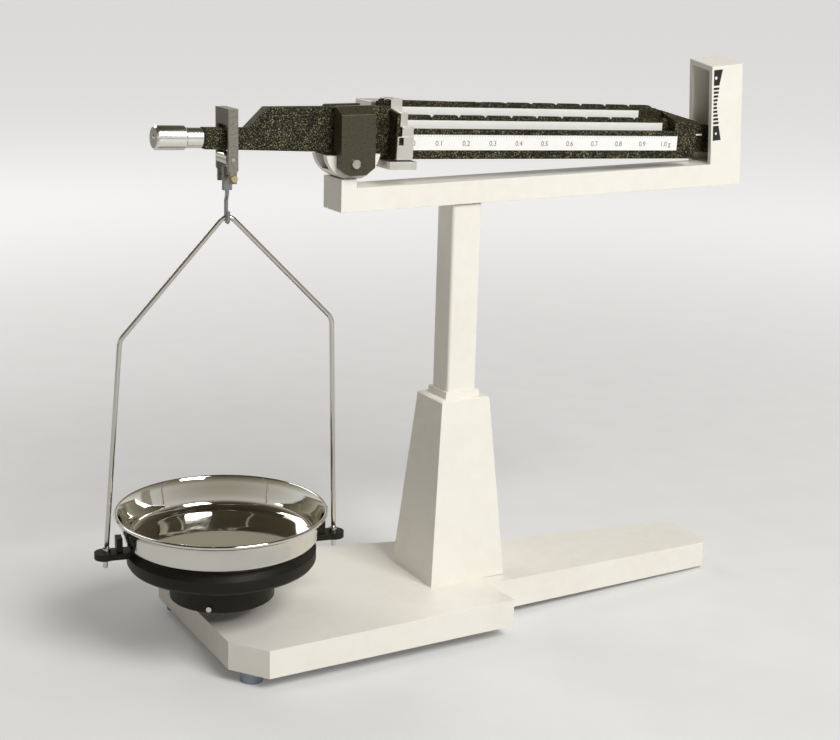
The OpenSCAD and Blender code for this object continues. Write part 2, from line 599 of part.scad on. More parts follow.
// Pointer: thin vane from the nose into the damper
vane_screw_ws = [-3, 3];
vane_screw_u = nose_u + 1.5;
vane_reach = 10.4;
vane_end = house_x + vane_reach - fx;
module pointer_vane() on_beam() color(BLACK) difference() {
    slab_y([[nose_u - 2.8, -6], [nose_u + 0.1, -7.4], [vane_end - 4, -8.8], [vane_end, -6], [vane_end, 3], [vane_end - 4, 5.7],
            [nose_u + 0.1, 7.8], [nose_u - 2.8, 6]], -0.7, 0.7);
    for (w = vane_screw_ws) rod_y(vane_screw_u, w, 1.7, -3, 3);
}
module vane_screws() on_beam() color(STEEL) for (w = vane_screw_ws) {
    rod_y(vane_screw_u, w, 1.65, -2.2, 2.2);
    rod_y(vane_screw_u, w, 2.6, -3, -2.2);
}
// Zero stud, knob and its nylon bush
stud_d = 3;
stud_end = arm_end + 13;
knob_u0 = arm_end + 1.2;
neck_l = 7.4;
knob_l = 14.6;
neck_d = 9.1;
knob_d = 11;
module zero_stud() on_beam() color(STEEL) rod_x(-stud_end, -arm_end + 8, knob_w, stud_d);
module zero_knob() on_beam() color(NICKEL) difference() {
    union() {
        rod_x(-knob_u0 - neck_l, -knob_u0, knob_w, neck_d);
        rod_x(-knob_u0 - neck_l - knob_l + 0.8, -knob_u0 - neck_l - 0.8, knob_w, knob_d);
        for (e = [0, 1]) translate([-knob_u0 - neck_l - (e == 0 ? 0.8 : knob_l), 0, knob_w]) rotate([0, 90, 0])
            cylinder(d1 = e == 0 ? knob_d : knob_d - 1.6, d2 = e == 0 ? knob_d - 1.6 : knob_d, h = 0.8);
    }
    rod_x(-knob_u0 - 14.5, 0, knob_w, stud_d + 2 * passing);
    rod_x(-knob_u0 - 5.9, 0, knob_w, bush_d + 2 * running);
    rod_x(-knob_u0 - neck_l - knob_l - 1, -knob_u0 - neck_l - knob_l + 1.2, knob_w, 3);
}
bush_d = 6;
module knob_bush() on_beam() color(WHITE) difference() {
    rod_x(-knob_u0 - 5.8, -knob_u0, knob_w, bush_d);
    rod_x(-knob_u0 - 7, 0, knob_w, stud_d + 2 * running);
}
plug_u = frame_u1 + 1;
module balance_plug() on_beam() color(BRASS) rod_z(plug_u, 0, 4.9, -beam_low + 0.4, -beam_low + 4.9);

// Poises: each has a folded hanger astride one bar, in its own lane
poise_u0 = frame_u0 + end_t + passing;
poise_u1 = poise_u0 + poise_w;
lane_gap = 0.35;
lane_out = bar_t / 2 + lane_gap;
module hanger(i, low, front_low) {
    y0 = bar_ys[i] - lane_out - poise_t - (i < 3 ? scale_t : 0);
    y1 = bar_ys[i] + lane_out + poise_t;
    top = bar_tops[i] + passing;
    block([poise_u0, y0, front_low], [poise_u1, y0 + poise_t, top + poise_t]);
    block([poise_u0, y1 - poise_t, low], [poise_u1, y1, top + poise_t]);
    block([poise_u0, y0, top], [poise_u1, y1, top + poise_t]);
}
face_y = bar_ys[0] - lane_out - poise_t - scale_t;
face_low = beam_low + 0.2;
module poise_1g() on_beam() color(NICKEL) difference() {
    union() {
        hanger(0, -3, -face_low);
        block([frame_u0 - 0.4, face_y - 0.5, -face_low], [poise_u1, face_y + poise_t, 0.3]);
    }
    block([frame_u0 + 0.5, face_y - 1, -3.9], [frame_u0 + 2.9, face_y + 2, -0.3]);
}
// The 10 g and 100 g weights lie side by side under the bars
weight_top = beam_low + 0.9;
heavy_low = beam_low + 4.7;
heavy_u1 = poise_u1 + 2;
heavy_u0 = heavy_u1 - heavy_w;
split_y = bar_ys[1] + lane_out + poise_t;
module poise_10g() on_beam() color(NICKEL) {
    hanger(1, -weight_top - 0.5, -weight_top - 0.5);
    block([heavy_u0, -frame_half - 2.6, -heavy_low], [heavy_u1, split_y, -weight_top]);
}
module poise_100g() on_beam() color(NICKEL) {
    hanger(2, -weight_top - 0.5, -weight_top - 0.5);
    block([heavy_u0, split_y + passing, -heavy_low], [heavy_u1, frame_half, -weight_top]);
}
rear_y = bar_ys[3] + lane_out;
module poise_200g() on_beam() color(NICKEL) {
    hanger(3, -beam_low, -beam_low + 4);
    block([heavy_u0 + 1.6, rear_y, -beam_low - 5.4], [heavy_u1 + 1.6, rear_y + rear_d, rear_top]);
}

// Stirrup: inverted U that hangs on the pan knife, with agates under its bridge
stirrup_half = 7.4;
stirrup_t = 1.6;
stirrup_w = 4.8;
bridge_low = hang_z + 4.2;
bridge_top = hang_z + 11.5;
leg_in = stirrup_half - stirrup_t;
pin_d = 1.8;
spacer_z = hang_z - 11.1;
spacer_d = 6.2;
module leg_outline() polygon([[-stirrup_w / 2, bridge_low + 2], [-stirrup_w / 2, pin_z + 3.7], [-1.7, pin_z + 2.6],
                              [-1.7, pin_z - 2.4], [1.7, pin_z - 2.4], [1.7, pin_z + 2.6],
                              [stirrup_w / 2, pin_z + 3.7], [stirrup_w / 2, bridge_low + 2]]);
module stirrup() at_hang() color(PAINT_GREY) difference() {
    union() {
        block([-stirrup_w / 2, -stirrup_half, bridge_low], [stirrup_w / 2, stirrup_half, bridge_top]);
        for (s = [-1, 1]) mirror([0, (1 - s) / 2, 0])
            translate([0, stirrup_half, 0]) rotate([90, 0, 0]) linear_extrude(stirrup_t) leg_outline();
    }
    rod_y(0, pin_z, pin_d, -20, 20);
    rod_y(0, spacer_z, 1.6, -20, 20);
}
module stirrup_agates() at_hang() color(AGATE) for (s = [-1, 1]) mirror([0, (1 - s) / 2, 0]) difference() {
    block([-stirrup_w / 2 + 0.1, arm_t / 2 + 0.7, hang_z - 0.9], [stirrup_w / 2 - 0.1, leg_in, bridge_low]);
    slab_y([[0, hang_z + edge_gap], [4.2, hang_z - 2.2], [-4.2, hang_z - 2.2]], 0, stirrup_half);
}
module stirrup_pin() at_hang() color(BRASS) {
    rod_y(0, pin_z, pin_d - 0.02, -stirrup_half - 0.6, stirrup_half);
    rod_y(0, pin_z, 3, -stirrup_half - 1.4, -stirrup_half - 0.6 + EPS);
    rod_y(0, pin_z, 2.6, stirrup_half, stirrup_half + 0.8);
}
// Spacer between the legs, with a rivet through it
module stirrup_spacer() at_hang() color(NICKEL) {
    rod_y(0, spacer_z, spacer_d, -leg_in, leg_in);
    rod_y(0, spacer_z, 1.58, -stirrup_half, stirrup_half);
}

// A rod bent in the X Z plane, with a round bend at each inner point
bend_lap = 0.15;
bend_swell = 0.02;
function unit(v) = v / norm(v);
function turn_at(p, i) = let (a = unit(p[i] - p[i - 1]), b = unit(p[i + 1] - p[i])) acos(a * b);
function lead(p, r, i) = i <= 0 || i >= len(p) - 1 ? 0 : r[i] * tan(turn_at(p, i) / 2);
module bent_rod(p, r, d) {
    for (i = [0:len(p) - 2]) {
        dir = unit(p[i + 1] - p[i]);
        a = p[i] + dir * (lead(p, r, i) - (i > 0 ? bend_lap : 0));
        b = p[i + 1] - dir * (lead(p, r, i + 1) - (i < len(p) - 2 ? bend_lap : 0));
        translate([a[0], 0, a[1]]) rotate([0, atan2(dir[0], dir[1]), 0]) cylinder(d = d, h = norm(b - a), $fn = 32);
    }
    for (i = [1:len(p) - 2]) {
        d0 = unit(p[i] - p[i - 1]);
        d1 = unit(p[i + 1] - p[i]);
        side = sign(d0[0] * d1[1] - d0[1] * d1[0]);
        normal = [-d0[1], d0[0]] * side;
        start = p[i] - d0 * lead(p, r, i);
        centre = start + normal * r[i];
        a0 = atan2(-normal[1], -normal[0]);
        span = turn_at(p, i);
        translate([centre[0], 0, centre[1]]) rotate([90, 0, 0]) rotate([0, 0, side > 0 ? a0 : a0 - span])
            rotate_extrude(angle = span) translate([r[i], 0]) circle(d = d + 2 * bend_swell, $fn = 32);
    }
}

// Hook: flat eye on the stirrup's pin and a bent wire that carries the bow
hook_wire = 1.8;
hook_r = wire_d / 2 + hook_wire / 2 + 0.2;
hook_bend = hook_r - 0.35;
hook_low = apex_z - wire_d / 2 - passing / 4 - hook_wire / 2;
module hook() at_hang() color(STEEL) {
    difference() {
        block([-2.05, -1.1, pin_z - 6], [2.05, 1.1, pin_z + 4.6]);
        rod_y(0, pin_z, pin_d + 2 * running, -3, 3);
    }
    rotate([0, 0, 90 + bow_yaw])
        bent_rod([[0, pin_z - 5.2], [0, pin_z - 8], [hook_r, pin_z - 11], [hook_r, hook_low], [-hook_r, hook_low],
                  [-hook_r, apex_z + 3]], [0, 1.5, 1.5, hook_bend, hook_bend, 0], hook_wire);
}

// Bow: one bent wire from ear to ear, with its top above the hook and not quite above the pan's axis
bow_low = pan_z - 8.6;
apex_bend = 4.5;
apex_lift = 2.13;
left_shoulder_r = bow_r - left_shoulder_in;
right_shoulder_r = bow_r - right_shoulder_in;
bow_points = [[-bow_r, bow_low], [-left_shoulder_r, left_shoulder_z], [bow_set, apex_z + apex_lift],
              [right_shoulder_r, right_shoulder_z], [bow_r, bow_low]];
module pan_bow() on_bow() color(NICKEL) bent_rod(bow_points, [0, 7, apex_bend, 7, 0], wire_d);
function wire_x(s, z) = s < 0 ? -bow_r + (z - bow_low) * left_shoulder_in / (left_shoulder_z - bow_low)
                              : bow_r - (z - bow_low) * right_shoulder_in / (right_shoulder_z - bow_low);
ear_h = 3;
ear_low = pan_z - 0.6 - ear_h;
ear_top = ear_low + ear_h;
// Collars fixed to the wire, which rest on the ears' upper faces
collar_d = 3.9;
collar_h = 1.8;
module bow_collars() on_bow() color(NICKEL) for (s = [-1, 1]) {
    x = wire_x(s, ear_top + collar_h / 2);
    difference() {
        rod_z(x, 0, collar_d, ear_top, ear_top + collar_h);
        rod_z(x, 0, wire_d + 0.24, ear_low, ear_top + collar_h + 1);
    }
}
// Pan support: shallow dish with a boss below, two lugs and two ears
support_low = pan_z - support_h;
dish_low = pan_z - 12.4;
lug_r0 = wall_r + 1.4;
lug_r1 = lug_r0 + 2.9;
bow_hole = wire_d + 0.5;
module support_profile() polygon([
    [0, support_low], [boss_support_r, support_low], [boss_support_r, dish_low], [support_r - 7.2, dish_low + 0.8],
    [support_r - 3.2, dish_low + 1.5], [support_r - 0.8, dish_low + 2.6], [support_r, dish_low + 3.9],
    [support_r, pan_z - 3.6], [support_r - 2.4, pan_z - 1.8], [support_r - 3.8, pan_z], [support_r - 6.4, pan_z],
    [support_r - 6.4, pan_z - 2.2], [support_r - 3.2, pan_z - 5], [support_r - 3.2, dish_low + 5],
    [support_r - 5.5, dish_low + 4.2], [boss_support_r - 1.5, dish_low + 3.2], [boss_support_r - 3.2, dish_low],
    [boss_support_r - 3.2, support_low + 3], [6, support_low + 3], [6, support_low + 10], [0, support_low + 10]]);
module pan_support() on_bow() color(BLACK) difference() {
    union() {
        rotate_extrude($fn = 128) support_profile();
        for (s = [-1, 1]) mirror([(1 - s) / 2, 0, 0]) {
            block([lug_r0, -3, ear_low], [lug_r1, 3, pan_z + 6.4]);
            block([support_r - 4.2, -ear_r + 0.6, ear_low], [bow_r, ear_r - 0.6, ear_top]);
            rod_z(bow_r, 0, 2 * ear_r, ear_low, ear_top);
        }
    }
    for (s = [-1, 1]) rod_z(wire_x(s, ear_low + ear_h / 2), 0, bow_hole, ear_low - 1, ear_top + 1);
    rotate([0, 0, support_screw_a]) rod_x(boss_support_r - 5, boss_support_r + 2, support_screw_z, 1.6);
}
support_screw_a = -127 - bow_yaw;
support_screw_z = support_low + 1.9;
module support_screw() on_bow() color(NICKEL) rotate([0, 0, support_screw_a]) {
    rod_x(boss_support_r - 4.5, boss_support_r + 0.1, support_screw_z, 1.55);
    rod_x(boss_support_r + 0.05, boss_support_r + 0.9, support_screw_z, 2.6);
}
// Pan: pressed sheet with a flared rim
pan_rim = pan_z + pan_h;
module pan_profile() polygon([
    [0, pan_z], [wall_r - 5.3, pan_z], [wall_r - 2.9, pan_z + 0.5], [wall_r - 1.1, pan_z + 1.8], [wall_r - 0.1, pan_z + 3.8],
    [wall_r + 0.5, pan_z + 7], [wall_r + 1.9, pan_z + 11], [pan_r - 1.5, pan_rim - 1.8], [pan_r - 0.5, pan_rim - 1.4],
    [pan_r, pan_rim - 0.7], [pan_r - 0.3, pan_rim], [pan_r - 1.4, pan_rim - 0.2], [wall_r + 1.1, pan_z + 11.4],
    [wall_r + 0.5 - pan_t, pan_z + 7.2], [wall_r - 0.1 - pan_t, pan_z + 4.1], [wall_r - 1.9, pan_z + 2.5],
    [wall_r - 3.2, pan_z + 1.4], [wall_r - 5.4, pan_z + pan_t], [0, pan_z + pan_t]]);
module pan() on_bow() color(NICKEL) rotate_extrude($fn = 128) pan_profile();

base_plate();
fixed_feet();
foot_screws();
levelling_screw();
levelling_bush();
pedestal();
column();
tie_rod();
tie_nut();
support_arm();
damper_magnets();
damper_bracket();
damper_screw();
bearing_block();
bearing_agates();
bearing_screw();
front_bearing_cover();
rear_bearing_cover();
cover_screws();
beam_casting();
fulcrum_knife();
pan_knife();
knife_screws();
scale_plate_1g();
scale_plate_10g();
scale_plate_100g();
pointer_vane();
vane_screws();
zero_stud();
balance_plug();
zero_knob();
knob_bush();
poise_1g();
poise_10g();
poise_100g();
poise_200g();
stirrup();
stirrup_agates();
stirrup_pin();
stirrup_spacer();
hook();
pan_bow();
bow_collars();
pan_support();
support_screw();
pan();
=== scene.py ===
import math

import bmesh
import bpy
from mathutils import Matrix, Vector


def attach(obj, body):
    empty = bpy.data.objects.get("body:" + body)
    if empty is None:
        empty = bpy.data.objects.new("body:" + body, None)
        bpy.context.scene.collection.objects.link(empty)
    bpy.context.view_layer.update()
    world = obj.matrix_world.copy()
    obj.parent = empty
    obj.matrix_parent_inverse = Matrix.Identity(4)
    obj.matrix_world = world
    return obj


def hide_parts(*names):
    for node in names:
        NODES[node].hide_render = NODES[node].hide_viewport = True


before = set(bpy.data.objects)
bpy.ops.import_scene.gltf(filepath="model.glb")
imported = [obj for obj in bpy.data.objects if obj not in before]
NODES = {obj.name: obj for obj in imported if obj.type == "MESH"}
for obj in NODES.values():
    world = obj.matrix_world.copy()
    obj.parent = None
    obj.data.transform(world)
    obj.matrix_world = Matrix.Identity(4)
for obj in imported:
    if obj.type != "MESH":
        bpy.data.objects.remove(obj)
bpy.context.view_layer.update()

MM = 0.001

# Places on the balance, in millimetres, the same as in the part's source:
# x runs along the beam from the column's axis, y to the back, z up from the table
CENTRE_X = -6.7375
CENTRE_Y = 12.546
FULCRUM = (-63.6, 249.0)
TILT = math.radians(2.2)
PAN_ARM = 60.6
HANG_X = FULCRUM[0] - PAN_ARM * math.cos(TILT)
HANG_Z = FULCRUM[1] + PAN_ARM * math.sin(TILT)
STIRRUP_DROP = 19.6
HOOK_DROP = 18.5
APEX_Z = HANG_Z - STIRRUP_DROP - HOOK_DROP
BAR_PITCH = 6.2
BAR_T = 3.0
SCALE_T = 0.5
ZERO_U = 28.8
MARK_PITCH = 15.2
HOUSE_X = 150.9
HOUSE_CORNER = (173.4, 215.5)
HOUSE_LEAN = math.radians(-4)
HOUSE_FRONT = -9.2

# The bow, in its own plane: the pan's axis stands a little beside its middle, and its shoulders are uneven
BOW_SET = 3.1
BOW_YAW = math.radians(-11)
BOW_HALF = 55.7
BOW_FOOT_Z = 48.4
LEFT_SHOULDER = (-46.7, 158)
RIGHT_SHOULDER = (53.2, 163.7)
APEX_RISE = 2.13
WIRE_R = 1.15
SHOULDER_BEND = 7
APEX_BEND = 4.5

# The pan: underside and rim above the table, then its sheet, flat, corner and rolled bead
PAN_Z = 57.0
PAN_RIM = 73.0
SHEET = 0.9
FLAT_R = 38
CORNER_AT = 41.2
CORNER_R = 5.2
BEAD_AT = 49.9
BEAD_R = 0.9

# Print stands this far off its face, so that the two never lie in one plane
INK_LIFT = 0.04
INDEX_X = HOUSE_X + 1.2

# Edges that turn by more than SHARP degrees are rounded; faces within FLAT degrees are one face
SHARP = 30
FLAT = 0.6
WELD = 2e-6


def stand_place(x=0.0, y=0.0, z=0.0):
    """Matrix from the column's axis, in millimetres, to the frame."""
    return Matrix.Scale(MM, 4) @ Matrix.Translation((x - CENTRE_X, y - CENTRE_Y, z))


def beam_place():
    """Matrix from the beam's own axes, with the knife line as origin, to the frame."""
    return stand_place(FULCRUM[0], 0, FULCRUM[1]) @ Matrix.Rotation(TILT, 4, "Y")


def bow_place():
    """Matrix from the bow's own plane, with the pan's axis as origin, to the frame."""
    return stand_place(HANG_X) @ Matrix.Rotation(BOW_YAW, 4, "Z") @ Matrix.Translation((-BOW_SET, 0, 0))


def house_place(x=0.0, y=0.0, z=0.0):
    """Matrix from the leaning index housing, drawn as if upright, to the frame."""
    corner = Matrix.Translation((HOUSE_CORNER[0], 0, HOUSE_CORNER[1]))
    lean = corner @ Matrix.Rotation(HOUSE_LEAN, 4, "Y") @ corner.inverted()
    return stand_place() @ lean @ Matrix.Translation((x, y, z))


def print_place(y):
    """Matrix from an upright plane across the beam at this y to the frame."""
    return beam_place() @ Matrix.Translation((0, y, 0))


# Node trees


def colour(code):
    """An sRGB hex value as linear red, green, blue and alpha."""
    parts = [int(code[i:i + 2], 16) / 255 for i in (1, 3, 5)]
    linear = [c / 12.92 if c <= 0.04045 else ((c + 0.055) / 1.055) ** 2.4 for c in parts]
    return (*linear, 1.0)


def node(tree, kind, inputs=None, **settings):
    """Adds a node, sets its properties, and fills or links its inputs by name or number."""
    made = tree.nodes.new(kind)
    for name, value in settings.items():
        setattr(made, name, value)
    for name, value in (inputs or {}).items():
        socket = made.inputs[name]
        if isinstance(value, bpy.types.NodeSocket):
            tree.links.new(value, socket)
        else:
            socket.default_value = value
    return made


def ramp(tree, factor, *stops):
    """A colour ramp through (place, colour) stops."""
    made = node(tree, "ShaderNodeValToRGB", {0: factor})
    elements = made.color_ramp.elements
    while len(elements) < len(stops):
        elements.new(0.5)
    for element, (place, value) in zip(elements, stops):
        element.position = place
        element.color = value
    return made.outputs[0]


def worked_out(tree, operation, *values):
    """A number worked out from constants and other nodes' outputs."""
    return node(tree, "ShaderNodeMath", dict(enumerate(values)), operation=operation).outputs[0]


def spread(tree, factor, low, high, least, most, **settings):
    """A factor between low and high, spread over least to most."""
    inputs = {0: factor, 1: low, 2: high, 3: least, 4: most}
    return node(tree, "ShaderNodeMapRange", inputs, **settings).outputs[0]


def per_mm(size):
    """Noise scale, in object metres, for a pattern whose cells measure size millimetres."""
    return 1000.0 / size


def noise(tree, where, size, detail=2.0, rough=0.5):
    """A cloudy pattern whose cells measure size millimetres."""
    inputs = {"Vector": where, "Scale": per_mm(size), "Detail": detail, "Roughness": rough}
    return node(tree, "ShaderNodeTexNoise", inputs).outputs["Fac"]


def raised(tree, height, depth, strength, under=None):
    """The surface raised by a pattern, which is depth millimetres deep, over another one if given."""
    inputs = {"Strength": strength, "Distance": depth * MM, "Height": height}
    if under is not None:
        inputs["Normal"] = under
    return node(tree, "ShaderNodeBump", inputs).outputs[0]


def start(name):
    """A new material with an empty tree, and its place in object metres."""
    made = bpy.data.materials.new(name)
    made.use_nodes = True
    tree = made.node_tree
    tree.nodes.clear()
    where = node(tree, "ShaderNodeTexCoord").outputs["Object"]
    return made, tree, where


def finish_with(tree, shader):
    """Joins a shader to the material's output."""
    node(tree, "ShaderNodeOutputMaterial", {"Surface": shader.outputs[0]})


def surface(tree, inputs):
    """Finishes a material with one principled shader."""
    finish_with(tree, node(tree, "ShaderNodeBsdfPrincipled", inputs))


# Materials


def stove_enamel(name, light, dark, rough, gloss=0.5, coat=0.25):
    """Stove enamel on an aluminium casting: even, satin, with faint orange peel and a little hand grime."""
    made, tree, where = start(name)
    cloud = noise(tree, where, 45, 3)
    grime = noise(tree, where, 7, 4, 0.62)
    mixed = worked_out(tree, "MULTIPLY", cloud, grime)
    tint = ramp(tree, mixed, (0.18, colour(light)), (0.48, colour(dark)))
    shine = spread(tree, grime, 0.35, 0.7, rough, rough + 0.14)
    # Orange peel is about 1.2 mm from crest to crest and a hundredth of a millimetre deep
    peel = raised(tree, noise(tree, where, 1.2, 1), 0.04, 0.25)
    cast = raised(tree, noise(tree, where, 14, 2), 0.1, 0.4, peel)
    surface(tree, {"Base Color": tint, "Roughness": shine, "IOR": 1.5, "Normal": cast,
                   "Specular IOR Level": gloss, "Coat Weight": coat, "Coat Roughness": 0.2})
    return made


def crinkle_enamel(name):
    """Black crinkle enamel: baked paint that shrinks into fine wrinkles, with painted highlights: the crests
    are coloured a warm grey that stands in for light glinting on them.
    """
    made, tree, where = start(name)
    # The wrinkles are drawn 0.55 mm apart, a little coarser than real ones, so that they show
    grit = noise(tree, where, 0.55, 2, 0.55)
    clump = noise(tree, where, 5, 2)
    height = worked_out(tree, "MULTIPLY_ADD", clump, 0.16, grit)
    # Painted highlights: the higher a wrinkle stands, the paler and warmer its colour, as if light glinted on
    # its crest
    tint = ramp(tree, height, (0.54, colour("#0C0B05")), (0.61, colour("#221F10")),
                (0.68, colour("#575134")), (0.82, colour("#A9A27C")))
    surface(tree, {"Base Color": tint, "Roughness": 0.5, "IOR": 1.5, "Specular IOR Level": 0.22,
                   "Normal": raised(tree, grit, 0.35, 0.8)})
    return made


def grey_lacquer(name, light, dark):
    """Grey lacquer on folded sheet steel: smooth and half gloss, mottled by the spray."""
    made, tree, where = start(name)
    mottle = noise(tree, where, 0.9, 3, 0.6)
    tint = ramp(tree, mottle, (0.3, colour(dark)), (0.7, colour(light)))
    shine = spread(tree, mottle, 0.3, 0.7, 0.24, 0.36)
    surface(tree, {"Base Color": tint, "Roughness": shine, "IOR": 1.5, "Metallic": 0.25,
                   "Normal": raised(tree, mottle, 0.03, 0.25)})
    return made


def plain_metal(name, tone, rough, dulled, lay=None, wave=0.02):
    """A bare or plated metal: its machining leaves fine lines, and handling dulls it in patches."""
    made, tree, where = start(name)
    if lay is None:
        lines = noise(tree, where, 0.8, 3, 0.6)
    else:
        stretched = node(tree, "ShaderNodeMapping", {"Vector": where, "Scale": lay})
        lines = noise(tree, stretched.outputs[0], 0.5, 2, 0.6)
    shine = spread(tree, noise(tree, where, 12, 3), 0.35, 0.7, rough, rough + dulled)
    surface(tree, {"Base Color": colour(tone), "Roughness": shine, "Metallic": 1.0,
                   "Normal": raised(tree, lines, wave, 0.35)})
    return made


def soft_plastic(name, light, dark, rough, size):
    """A moulded rubber or plastic: dull, with a fine grain and a faint bloom."""
    made, tree, where = start(name)
    tint = ramp(tree, noise(tree, where, size, 3), (0.35, colour(light)), (0.7, colour(dark)))
    grain = raised(tree, noise(tree, where, 0.6, 2), 0.05, 0.4)
    surface(tree, {"Base Color": tint, "Roughness": rough, "IOR": 1.5, "Normal": grain})
    return made


def agate_stone(name):
    """Polished agate: banded red-brown stone."""
    made, tree, where = start(name)
    inputs = {"Vector": where, "Scale": per_mm(1.6), "Distortion": 5.0, "Detail": 3.0}
    bands = node(tree, "ShaderNodeTexWave", inputs).outputs["Fac"]
    tint = ramp(tree, bands, (0.2, colour("#3E1A12")), (0.6, colour("#6B3223")), (0.9, colour("#8F6148")))
    surface(tree, {"Base Color": tint, "Roughness": 0.12, "IOR": 1.54})
    return made


def printed_ink(name, tone, rough):
    """Screen-printed ink: flat, a little uneven where the screen laid it thin."""
    made, tree, where = start(name)
    deep = colour(tone)
    pale = tuple(min(1.0, c * 1.35 + 0.01) for c in deep[:3]) + (1.0,)
    tint = ramp(tree, noise(tree, where, 0.7, 3, 0.65), (0.4, deep), (0.75, pale))
    surface(tree, {"Base Color": tint, "Roughness": rough, "IOR": 1.48})
    return made


CREAM = stove_enamel("cream stove enamel", "#F5F2E8", "#EFEBDE", 0.34)
CRINKLE = crinkle_enamel("black crinkle enamel")
LACQUER = grey_lacquer("olive grey lacquer", "#4C4A37", "#423F2F")
STIRRUP_GREY = grey_lacquer("pale grey lacquer", "#8E8C7F", "#7F7D71")
BLACK = stove_enamel("black stove enamel", "#151207", "#1F1B0D", 0.42, 0.25, 0.05)
NICKEL = plain_metal("polished nickel", "#D9D6CC", 0.10, 0.08)
SATIN_NICKEL = plain_metal("satin nickel", "#EDEBE3", 0.3, 0.08)
TURNED_NICKEL = plain_metal("turned nickel", "#F0EEE8", 0.2, 0.06)
MIRROR = plain_metal("mirror-polished stainless steel", "#DEDCD4", 0.035, 0.05, None, 0.006)
BRIGHT_WIRE = plain_metal("bright drawn wire", "#CFCCC6", 0.12, 0.1, (1.0, 1.0, 0.12))
STEEL = plain_metal("turned steel", "#9A9B9C", 0.26, 0.12)
BRASS = plain_metal("turned brass", "#CFC08F", 0.3, 0.1)
RUBBER = soft_plastic("pale grey rubber", "#A3AFBE", "#8895A6", 0.6, 5)
NYLON = soft_plastic("natural nylon", "#E6E2D4", "#D8D2C0", 0.45, 4)
MAGNET = soft_plastic("sintered magnet", "#3A3A3C", "#2A2A2C", 0.55, 3)
AGATE = agate_stone("polished agate")
PLATE_WHITE = stove_enamel("white plate enamel", "#FAFAF6", "#F4F3ED", 0.36)
INK = printed_ink("brown-grey printing ink", "#6B6255", 0.5)
BLACK_INK = printed_ink("black printing ink", "#1C1A16", 0.42)

NODE_FINISH = {
    "base_plate": CREAM, "pedestal": CREAM, "column": CREAM, "support_arm": CREAM, "bearing_block": CREAM,
    "fixed_feet": RUBBER, "foot_screws": STEEL, "levelling_screw": NICKEL, "levelling_bush": BRASS,
    "tie_rod": STEEL, "tie_nut": STEEL,
    "damper_magnets": MAGNET, "damper_bracket": STEEL, "damper_screw": STEEL,
    "bearing_agates": AGATE, "bearing_screw": STEEL,
    "front_bearing_cover": LACQUER, "rear_bearing_cover": LACQUER, "cover_screws": NICKEL,
    "beam_casting": CRINKLE, "fulcrum_knife": STEEL, "pan_knife": STEEL, "knife_screws": STEEL,
    "scale_plate_1g": PLATE_WHITE, "scale_plate_10g": PLATE_WHITE, "scale_plate_100g": PLATE_WHITE,
    "pointer_vane": CRINKLE, "vane_screws": STEEL,
    "zero_stud": STEEL, "balance_plug": BRASS, "zero_knob": TURNED_NICKEL, "knob_bush": NYLON,
    "poise_1g": SATIN_NICKEL, "poise_10g": SATIN_NICKEL,
    "poise_100g": SATIN_NICKEL, "poise_200g": SATIN_NICKEL,
    "stirrup": STIRRUP_GREY, "stirrup_agates": AGATE, "stirrup_pin": BRASS, "stirrup_spacer": NICKEL,
    "hook": STEEL, "pan_bow": BRIGHT_WIRE, "bow_collars": BRIGHT_WIRE,
    "pan_support": BLACK, "support_screw": NICKEL, "pan": MIRROR,
}
for name, made in NODES.items():
    made.data.materials.clear()
    made.data.materials.append(NODE_FINISH.get(name, NICKEL))


# Pieces


def piece(name, mesh, finish, body, stands_for=()):
    """Links a finished mesh as a piece that rides on a body, and may stand for CAD nodes."""
    made = bpy.data.objects.new(name, mesh)
    bpy.context.scene.collection.objects.link(made)
    mesh.materials.clear()
    mesh.materials.append(finish)
    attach(made, body)
    if stands_for:
        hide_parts(*stands_for)
    return made


def smooth(mesh, angle):
    """Shades a mesh smooth, with edges over this angle in degrees kept sharp."""
    mesh.polygons.foreach_set("use_smooth", [True] * len(mesh.polygons))
    mesh.set_sharp_from_angle(angle=math.radians(angle))


def from_bmesh(name, bm, place=None):
    """The finished mesh, moved to its place if one is given."""
    mesh = bpy.data.meshes.new(name)
    if place is not None:
        bm.transform(place)
    bm.to_mesh(mesh)
    bm.free()
    return mesh


def eased(name, body, width, segments=3):
    """A cast or folded CAD node with its edges rounded, as fettling and paint leave them."""
    bm = bmesh.new()
    bm.from_mesh(NODES[name].data)
    bmesh.ops.remove_doubles(bm, verts=bm.verts, dist=WELD)
    bmesh.ops.dissolve_limit(bm, angle_limit=math.radians(FLAT), verts=bm.verts, edges=bm.edges)
    mesh = from_bmesh(name + "_eased", bm)
    smooth(mesh, SHARP)
    made = piece(name + "_eased", mesh, NODE_FINISH[name], body, [name])
    bevel = made.modifiers.new("round the edges", "BEVEL")
    bevel.width = width * MM
    bevel.segments = segments
    bevel.limit_method = "ANGLE"
    bevel.angle_limit = math.radians(SHARP)
    bevel.use_clamp_overlap = True
    bevel.harden_normals = True


def join_rings(bm, a, b, steps):
    """Faces between two rings of points; a ring of one point gives triangles."""
    for i in range(steps):
        j = (i + 1) % steps
        corners = [a[i % len(a)], a[j % len(a)], b[j % len(b)], b[i % len(b)]]
        unique = []
        for corner in corners:
            if corner not in unique:
                unique.append(corner)
        if len(unique) > 2:
            bm.faces.new(unique)


def lathe(name, profile, place, steps):
    """A turned form: profile is (radius, height) from the axis round to the axis."""
    bm = bmesh.new()
    angles = [2 * math.pi * i / steps for i in range(steps)]
    rings = []
    for r, z in profile:
        if r < 1e-6:
            rings.append([bm.verts.new((0, 0, z))])
        else:
            rings.append([bm.verts.new((r * math.cos(a), r * math.sin(a), z)) for a in angles])
    for lower, upper in zip(rings, rings[1:]):
        join_rings(bm, lower, upper, steps)
    bmesh.ops.recalc_face_normals(bm, faces=bm.faces)
    return from_bmesh(name, bm, place)


